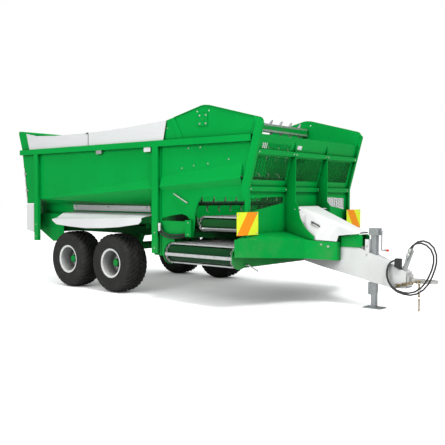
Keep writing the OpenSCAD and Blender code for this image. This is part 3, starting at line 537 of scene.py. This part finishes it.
# ---------------------------------------------------------------- operators
class WAGON_OT_stage(bpy.types.Operator):
    """Camera, lamps, pale floor and backdrop"""
    bl_idname = "wagon.stage"
    bl_label = "Stage"

    def execute(self, context):
        scene = context.scene
        cam = bpy.data.objects.new("camera", bpy.data.cameras.new("camera"))
        scene.collection.objects.link(cam)
        scene.camera = cam
        cam.data.sensor_width = 36.0
        cam.data.lens = 54.06
        turn, pitch, roll = math.radians(40.21), math.radians(2.25), math.radians(0.22)
        ahead = Vector((-math.sin(turn) * math.cos(pitch), math.cos(turn) * math.cos(pitch),
                        -math.sin(pitch)))
        right = Vector((math.cos(turn), math.sin(turn), 0.0))
        up = right.cross(ahead)
        level = right * math.cos(roll) + up * math.sin(roll)
        upright = up * math.cos(roll) - right * math.sin(roll)
        cam.matrix_world = Matrix.Translation(from_axles(8.127, -7.814, 1.432)) @ Matrix(
            (level, upright, -ahead)).transposed().to_4x4()
        scene.view_settings.view_transform = "Standard"

        floor_bm = bmesh.new()
        bmesh.ops.create_grid(floor_bm, x_segments=1, y_segments=1, size=FLOOR_SIZE)
        mesh = bpy.data.meshes.new("floor")
        floor_bm.to_mesh(mesh)
        floor_bm.free()
        floor = bpy.data.objects.new("floor", mesh)
        scene.collection.objects.link(floor)
        f = Finish("floor", (0.9, 0.9, 0.9), 0.95, Specular_IOR_Level=0.0)
        # the camera sees the floor lifted to the backdrop's white, its shadows stay; ambient occlusion dims
        # the lift near the wagon, a painted shadow
        near = f.node("ShaderNodeAmbientOcclusion", {"samples": 12}, {"Distance": 1.3}, "Color")
        strength = f.node("ShaderNodeLightPath") * FLOOR_LIFT
        lift = f.node("ShaderNodeEmission", {}, {"Color": near, "Strength": strength})
        both = f.node("ShaderNodeAddShader")
        f.tree.links.new(f.shader.outputs[0], both.socket.node.inputs[0])
        f.tree.links.new(lift.socket, both.socket.node.inputs[1])
        f.tree.links.new(both.socket, f.tree.nodes["Material Output"].inputs["Surface"])
        mesh.materials.append(f.material)

        world = bpy.data.worlds.new("studio")
        scene.world = world
        world.use_nodes = True
        nodes, links = world.node_tree.nodes, world.node_tree.links
        plain = nodes["Background"]
        plain.inputs["Color"].default_value = (0.96, 0.98, 1.0, 1.0)
        plain.inputs["Strength"].default_value = 0.40
        seen = nodes.new("ShaderNodeBackground")
        seen.inputs["Color"].default_value = (1, 1, 1, 1)
        path = nodes.new("ShaderNodeLightPath")
        blend = nodes.new("ShaderNodeMixShader")
        links.new(path.outputs["Is Camera Ray"], blend.inputs[0])
        links.new(plain.outputs[0], blend.inputs[1])
        links.new(seen.outputs[0], blend.inputs[2])
        links.new(blend.outputs[0], nodes["World Output"].inputs["Surface"])

        for name, place, aim, size, watts in LAMPS:
            data = bpy.data.lights.new(name, "AREA")
            data.size = size
            data.energy = watts
            lamp = bpy.data.objects.new(name, data)
            scene.collection.objects.link(lamp)
            lamp.location = place
            lamp.rotation_euler = (Vector(aim) - Vector(place)).to_track_quat("-Z", "Y").to_euler()
        return {"FINISHED"}


class WAGON_OT_hoses(bpy.types.Operator):
    """The two free hydraulic hoses round the drawbar's end"""
    bl_idname = "wagon.hoses"
    bl_label = "Hoses"

    def execute(self, context):
        hose("hose_outer", HOSE_A, "front_hose_a")
        hose("hose_inner", HOSE_B, "front_hose_b")
        return {"FINISHED"}


class WAGON_OT_finishes(bpy.types.Operator):
    """Finish of every solid that stays as it is"""
    bl_idname = "wagon.finishes"
    bl_label = "Finishes"

    def execute(self, context):
        dress(*frame["nodes"])
        return {"FINISHED"}


class WAGON_OT_tyres(bpy.types.Operator):
    """Slanted tread bars on the four tyres"""
    bl_idname = "wagon.tyres"
    bl_label = "Tyres"

    def execute(self, context):
        count, height = sizes().tyre_lugs, sizes().lug_height
        crown = HUB_Z - height
        for body, side, end in WHEELS:
            centre = from_axles(end * AXLE_X, side * TRACK_Y, HUB_Z)
            bm = bmesh.new()
            carcass = [(0.206, -0.164), (0.240, -0.186), (0.300, -0.197), (0.362, -0.197), (0.392, -0.186),
                       (crown - 0.004, -0.150), (crown, -0.110), (crown, 0.110), (crown - 0.004, 0.150),
                       (0.392, 0.186), (0.362, 0.197), (0.300, 0.197), (0.240, 0.186), (0.206, 0.164)]
            lathe(bm, carcass, (0, 1, 0), centre, 96)
            for half, shift in ((-1, 0.0), (1, 0.5)):
                for i in range(count):
                    tread_bar(bm, centre, half, math.tau * (i + shift) / count, height, crown)
            tyre = piece("tread_" + body, bm, body, "tyre_rubber", 30.0)
            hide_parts("tyre_" + body[-2:])
        return {"FINISHED"}


# hub cap: columns are radius and distance outward from the wheel's middle plane
HUB_CAP = [(0.0005, 0.094), (0.036, 0.092), (0.052, 0.084), (0.057, 0.072), (0.058, 0.026), (0.064, 0.022),
           (0.066, 0.016), (0.0005, 0.016)]
# wheel bolts: radius of their circle, number, height
BOLT_CIRCLE, BOLT_COUNT, BOLT_HEIGHT = 0.086, 6, 0.016


class WAGON_OT_bolts(bpy.types.Operator):
    """Wheel bolts and green hub caps"""
    bl_idname = "wagon.bolts"
    bl_label = "Wheel bolts"

    def execute(self, context):
        for body, side, end in WHEELS:
            bm = bmesh.new()
            face = from_axles(end * AXLE_X, side * (TRACK_Y + 0.008), HUB_Z)
            for i in range(BOLT_COUNT):
                angle = math.tau * (i + 0.5) / BOLT_COUNT
                spot = face + Vector((math.cos(angle) * BOLT_CIRCLE, 0, math.sin(angle) * BOLT_CIRCLE))
                hex_bolt(bm, spot, (0, side, 0), sizes().bolt_size, BOLT_HEIGHT)
            piece("wheel_bolts_" + body, bm, body, "zinc_steel")
            bm = bmesh.new()
            lathe(bm, HUB_CAP, (0, side, 0), from_axles(end * AXLE_X, side * TRACK_Y, HUB_Z), 40)
            piece("hub_cap_" + body, bm, body, "green_paint", 25.0)
        return {"FINISHED"}


# safety chain: columns are first link, last link, number of links
CHAIN = [((4.4546, -0.106, 0.3335), (4.7204, -0.106, 0.3985), 7),
         ((4.735, -0.096, 0.387), (4.735, -0.096, 0.203), 5)]
# length, width and wire of a link, the same of the long end link, and its place
LINK, END_LINK, END_LINK_AT = (0.068, 0.036, 0.011), (0.150, 0.048, 0.012), (4.735, -0.096, 0.1125)


def chain_link(bm, place, length, width, wire):
    """A link of round wire: a ring whose halves are pulled apart along x."""
    before = len(bm.verts)
    radius = (width - wire) / 2
    ring = [(radius + wire / 2 * math.cos(math.tau * i / 8), wire / 2 * math.sin(math.tau * i / 8))
            for i in range(8)]
    lathe(bm, ring, (0, 0, 1), (0, 0, 0), 20)
    bm.verts.ensure_lookup_table()
    for v in bm.verts[before:]:
        v.co.x += (length - width) / 2 * (1 if v.co.x > 0 else -1)
        v.co = place @ v.co


class WAGON_OT_chain(bpy.types.Operator):
    """Safety chain of round wire"""
    bl_idname = "wagon.chain"
    bl_label = "Safety chain"

    def execute(self, context):
        bm = bmesh.new()
        for first, last, count in CHAIN:
            first, last = from_axles(*first), from_axles(*last)
            lie = Matrix.Rotation(-math.atan2(last.z - first.z, last.x - first.x), 4, "Y")
            for i in range(count):
                place = Matrix.Translation(first.lerp(last, i / (count - 1))) @ lie
                chain_link(bm, place @ Matrix.Rotation(math.pi / 2 * (i % 2 == 0), 4, "X"), *LINK)
        place = Matrix.Translation(from_axles(*END_LINK_AT)) @ Matrix.Rotation(math.pi / 2, 4, "Y")
        chain_link(bm, place, *END_LINK)
        chain = piece("chain", bm, "root", "yellow_zinc", 60.0)
        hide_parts("safety_chain")
        return {"FINISHED"}


# bolts on the walls of both sides: columns are x, height, distance of the face from the middle, radius
WALL_BOLTS = [*[(2.213 + a, 2.442 + b, 1.230, 0.013) for a in (-0.054, 0.054) for b in (-0.054, 0.054)],
              (1.553, 2.370, 1.222, 0.010), (1.950, 2.075, 1.222, 0.011), (2.165, 2.078, 1.222, 0.011),
              (2.300, 1.860, 1.222, 0.011), (2.050, 1.840, 1.222, 0.011), (1.830, 1.810, 1.222, 0.011),
              (2.655, 1.905, 1.222, 0.011),
              *[(-1.50, z, 1.275, 0.010) for z in (0.75, 0.95)],
              *[(1.35, z, 1.275, 0.010) for z in (0.70, 0.92)],
              *[(1.985, z, 1.268, 0.009) for z in (0.915, 1.075)],
              *[(x, 1.262, 0.990, 0.010) for x in (-0.80, 0.0, 0.88)]]
# bolts on the sides of the drawbar, with the same columns
DRAWBAR_BOLTS = [(4.350, 0.580, 0.090, 0.012), (4.345, 0.385, 0.090, 0.012), (4.022, 0.800, 0.088, 0.014),
                 (4.022, 0.690, 0.088, 0.014)]
# bolts that face forward: columns are x, y, height, radius
FRONT_BOLTS = [(3.044, y, z, 0.009) for y in (-1.50, -1.135) for z in (0.975, 1.21)]


class WAGON_OT_fasteners(bpy.types.Operator):
    """Bolt heads on the walls, the drawbar and the panels"""
    bl_idname = "wagon.fasteners"
    bl_label = "Fasteners"

    def execute(self, context):
        bm = bmesh.new()
        for side in (-1, 1):
            for x, z, y, size in WALL_BOLTS:
                hex_bolt(bm, from_axles(x, side * y, z), (0, side, 0), size, size * 0.9)
            for x, y, z, size in FRONT_BOLTS:
                hex_bolt(bm, from_axles(x, -side * y, z), (1, 0, 0), size, size * 0.8)
            for x, z, y, size in DRAWBAR_BOLTS:
                hex_bolt(bm, from_axles(x, side * y, z), (0, side, 0), size, size)
        piece("fasteners", bm, "root", "zinc_steel")
        return {"FINISHED"}


# crank grip and couplings' collars: columns are radius and distance along the piece
GRIP = [(0.0005, 0.030), (0.013, 0.028), (0.0165, 0.020), (0.0165, 0.004), (0.0145, 0.0), (0.0005, 0.0)]
COLLAR = [(0.0182, 0.0), (0.0215, 0.004), (0.0215, 0.030), (0.0182, 0.034)]


class WAGON_OT_trim(bpy.types.Operator):
    """Crank grip, clip at the pipes, joints of the boards and collars of the couplings"""
    bl_idname = "wagon.trim"
    bl_label = "Trim"

    def execute(self, context):
        bm = bmesh.new()
        lathe(bm, GRIP, (1, 0, 0), from_axles(4.254, 0.0, 0.752), 28)
        piece("crank_grip", bm, "root", "red_plastic")
        bm = bmesh.new()
        for side in (-1, 1):
            clip_at = Matrix.Translation(from_axles(1.460, side * 1.286, 1.001))
            made = block(bm, clip_at, (0.030, 0.026, 0.112))
            edges = list({e for v in made["verts"] for e in v.link_edges})
            bmesh.ops.bevel(bm, geom=edges, offset=0.004, affect="EDGES", segments=2, profile=0.5,
                            material=-1)
        piece("pipe_clip", bm, "root", "white_paint")
        bm = bmesh.new()
        for side in (-1, 1):
            block(bm, Matrix.Translation(from_axles(-0.141, side * BOARD_Y, 2.303)), (0.012, 0.004, 0.190))
            block(bm, Matrix.Translation(from_axles(-0.165, side * BOARD_Y, 2.395)), (0.050, 0.010, 0.020))
        piece("board_joints", bm, "root", "black_plastic")
        bm = bmesh.new()
        axis = Vector((0.358, 0.0, 0.934))
        for y in (-0.037, -0.077):
            for along in (0.020, 0.072):
                lathe(bm, COLLAR, axis, from_axles(4.566, y, 0.687) + axis * along, 32)
        piece("coupling_collars", bm, "root", "zinc_steel")
        return {"FINISHED"}


# windows: columns are low y, height along the wall, width, depth, leaning or not
WINDOWS = [(-1.160, 0.110, 0.710, 0.310, True), (-0.360, 0.110, 0.710, 0.310, True),
           (0.450, 0.110, 0.710, 0.310, True), (-1.110, 0.520, 0.610, 0.070, True),
           (-1.155, -0.295, 0.710, 0.192, False), (0.445, -0.295, 0.710, 0.192, False)]
# bolts on the beams of the front wall: columns are y, height along the leaning wall
BEAM_BOLTS = [(y, z) for z in (0.0, 0.480) for y in (-1.195, -0.435, -0.370, 0.370, 0.435, 1.195)]
# bolts on the slanted faces below the front wall: columns are x, y, height, radius; and where the faces look
SKIRT_BOLTS = [(3.493, -0.340, 0.808, 0.013), (3.557, -0.270, 0.782, 0.016)]
SKIRT_FACE = (0.7352, -0.6778)
# the windows' wire: pitch, radius, place in the wall's thickness, and the shortest piece that is kept
WIRE_PITCH, WIRE_R, WIRE_X, WIRE_MIN = 0.046, 0.0026, -0.006, 0.01


class WAGON_OT_windows(bpy.types.Operator):
    """Diamond wire in the windows, bolts and a blank plate on the front wall"""
    bl_idname = "wagon.windows"
    bl_label = "Windows"

    def execute(self, context):
        lean = Matrix.Translation(from_axles(LEAN_X, 0, LEAN_Z)) @ Matrix.Rotation(LEAN, 4, "Y")
        upright = Matrix.Translation(from_axles(LEAN_X, 0, LEAN_Z))
        bm = bmesh.new()
        for low_y, low_z, width, depth, leaning in WINDOWS:
            base = lean if leaning else upright
            for slope in (-1, 1):
                for k in range(1, int((width + depth) / WIRE_PITCH)):
                    # where the wire y + slope * z = c enters and leaves the window
                    c = k * WIRE_PITCH
                    y0, y1 = max(0.0, c - depth), min(width, c)
                    z0, z1 = c - y0, c - y1
                    if slope < 0:
                        z0, z1 = depth - z0, depth - z1
                    a = Vector((WIRE_X, low_y + y0, low_z + z0))
                    b = Vector((WIRE_X, low_y + y1, low_z + z1))
                    if (b - a).length < WIRE_MIN:
                        continue
                    turn = Vector((0, 0, 1)).rotation_difference(b - a).to_matrix().to_4x4()
                    bmesh.ops.create_cone(bm, cap_ends=False, segments=5, radius1=WIRE_R, radius2=WIRE_R,
                                          depth=(b - a).length,
                                          matrix=base @ Matrix.Translation((a + b) / 2) @ turn)
        piece("window_wire", bm, "root", "green_mesh", 60.0)
        bm = bmesh.new()
        ahead = Vector((math.cos(LEAN), 0, -math.sin(LEAN)))
        for y, z in BEAM_BOLTS:
            hex_bolt(bm, lean @ Vector((0.040, y, z)), ahead, 0.010, 0.009)
        for x, y, z, size in SKIRT_BOLTS:
            for side in (-1, 1):
                out = (SKIRT_FACE[0], -side * SKIRT_FACE[1], 0.0)
                hex_bolt(bm, from_axles(x, -side * y, z), out, size, size)
        piece("beam_bolts", bm, "root", "zinc_steel")
        bm = bmesh.new()
        block(bm, lean @ Matrix.Translation((0.002, -0.289, 0.568)), (0.003, 0.100, 0.052))
        piece("blank_plate", bm, "root", "white_paint")
        return {"FINISHED"}


# pitch and radius of the conveyors' rods, pitch and size of their chain links, the links' place and stagger
ROD_PITCH, ROD_R = 0.048, 0.006
WEB_LINK_PITCH, WEB_LINK = 0.062, (0.006, 0.044, 0.026)
WEB_LINK_IN, WEB_LINK_STAGGER = 0.022, 0.008


class WAGON_OT_webs(bpy.types.Operator):
    """Thin rods and chain links on both conveyors"""
    bl_idname = "wagon.webs"
    bl_label = "Conveyor webs"

    def execute(self, context):
        rods, links = bmesh.new(), bmesh.new()
        along_x = Matrix.Rotation(math.pi / 2, 4, "Y")
        for x0, x1, zc, r, y_end in CONVEYORS:
            yc = y_end - r - SLAT_H
            straight, bend = 2 * yc, math.pi * r
            total = 2 * (straight + bend)
            for bm, count, reach in ((rods, int(total / ROD_PITCH), r + 0.004),
                                     (links, 2 * int(total / WEB_LINK_PITCH), r + 0.008)):
                for i in range(count):
                    d = total * i / count
                    flip = d >= straight + bend
                    d -= (straight + bend) if flip else 0.0
                    angle = max(0.0, d - straight) / r
                    y = -yc + min(d, straight) + math.sin(angle) * reach
                    z = math.cos(angle) * reach
                    y, z = (-y, -z) if flip else (y, z)
                    if bm is rods:
                        # rods lie on the straight runs only
                        if angle == 0.0:
                            spot = from_axles((x0 + x1) / 2, y, zc + z)
                            bmesh.ops.create_cone(bm, cap_ends=False, segments=6, radius1=ROD_R,
                                                  radius2=ROD_R, depth=x1 - x0 - 0.02,
                                                  matrix=Matrix.Translation(spot) @ along_x)
                        continue
                    tilt = Matrix.Rotation(-angle - (math.pi if flip else 0.0), 4, "X")
                    for x in (x0 + WEB_LINK_IN, x1 - WEB_LINK_IN):
                        shift = WEB_LINK_STAGGER if i % 2 else -WEB_LINK_STAGGER
                        block(bm, Matrix.Translation(from_axles(x + shift, y, zc + z)) @ tilt, WEB_LINK)
        piece("web_rods", rods, "root", "worn_steel", 60.0)
        piece("web_links", links, "root", "zinc_steel")
        return {"FINISHED"}


class WAGON_PT_panel(bpy.types.Panel):
    """Lists the wagon's steps in the sidebar"""
    bl_label = "Feeder wagon"
    bl_idname = "WAGON_PT_panel"
    bl_space_type = "VIEW_3D"
    bl_region_type = "UI"
    bl_category = "Wagon"

    def draw(self, context):
        for name in ("tyre_lugs", "lug_height", "bolt_size"):
            self.layout.prop(sizes(), name)
        for step in STEPS:
            self.layout.operator(step.bl_idname)


STEPS = [WAGON_OT_stage, WAGON_OT_hoses, WAGON_OT_finishes, WAGON_OT_tyres, WAGON_OT_bolts,
         WAGON_OT_fasteners, WAGON_OT_windows, WAGON_OT_webs, WAGON_OT_chain, WAGON_OT_trim]
CLASSES = [WagonSizes, *STEPS, WAGON_PT_panel]


def register():
    for cls in CLASSES:
        bpy.utils.register_class(cls)
    bpy.types.Scene.wagon_sizes = bpy.props.PointerProperty(type=WagonSizes)


def unregister():
    del bpy.types.Scene.wagon_sizes
    for cls in reversed(CLASSES):
        bpy.utils.unregister_class(cls)


def main():
    register()
    for step in STEPS:
        group, name = step.bl_idname.split(".")
        getattr(getattr(bpy.ops, group), name)()


if __name__ == "__main__":
    main()
